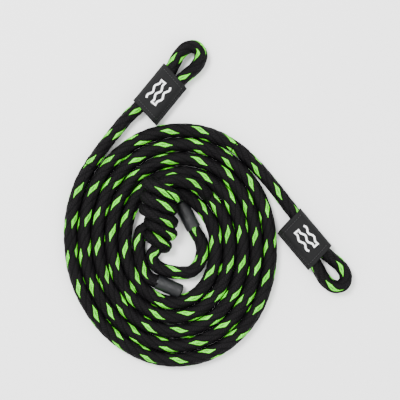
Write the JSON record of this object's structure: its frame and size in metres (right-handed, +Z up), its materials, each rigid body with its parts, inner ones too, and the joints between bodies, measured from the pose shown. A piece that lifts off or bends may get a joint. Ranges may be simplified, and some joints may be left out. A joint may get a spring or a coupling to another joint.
{
  "type": "tow rope handle",
  "caption": "Coiled solid-braid tow rope: lines laid flat side by side, a barrel hitch in the middle, sewn eyes in label sleeves and shrink-capped ends.",
  "frame": {"origin": "on the surface that the coil lies on, under the middle of the whole object's box", "axes": "+Z up through the coil, +Y towards the eye of line A, +X towards the eye of line B"},
  "size_m": [0.2124, 0.241, 0.0326],
  "materials": {
    "rope": "black solid braid with bright green tracer yarns",
    "label_fabric": "matte black woven label",
    "thread": "black bonded thread",
    "white_print": "white transfer print",
    "shrink_tube": "satin dark grey shrink tube",
    "fused_rope": "fused yarn ends"
  },
  "bodies": {
    "root": {"rope_coil": "rope", "grip_wrap": "rope", "line_b_core": "rope", "line_a_lead": "rope", "line_a_inner_loop": "rope", "end_cap_a": "shrink_tube", "end_cap_b": "shrink_tube", "rope_tip_a": "fused_rope", "rope_tip_b": "fused_rope"},
    "tail_a": {"line_a_tail": "rope", "eye_a": "rope", "label_sleeve_a": "label_fabric", "sleeve_seam_a": "thread", "eye_lock_stitch_a": "thread", "label_print_a": "white_print"},
    "tail_b": {"line_b_tail": "rope", "eye_b": "rope", "label_sleeve_b": "label_fabric", "sleeve_seam_b": "thread", "eye_lock_stitch_b": "thread", "label_print_b": "white_print"}
  },
  "joints": [
    {"name": "tail_a_swing", "type": "hinge", "parent": "root", "child": "tail_a", "pos_m": [-0.09136, 0.0307, 0.005], "axis": [0, 0, 1], "range_deg": [0, 35]},
    {"name": "tail_b_swing", "type": "hinge", "parent": "root", "child": "tail_b", "pos_m": [0.02276, 0.04572, 0.005], "axis": [0, 0, 1], "range_deg": [0, 35]}
  ]
}
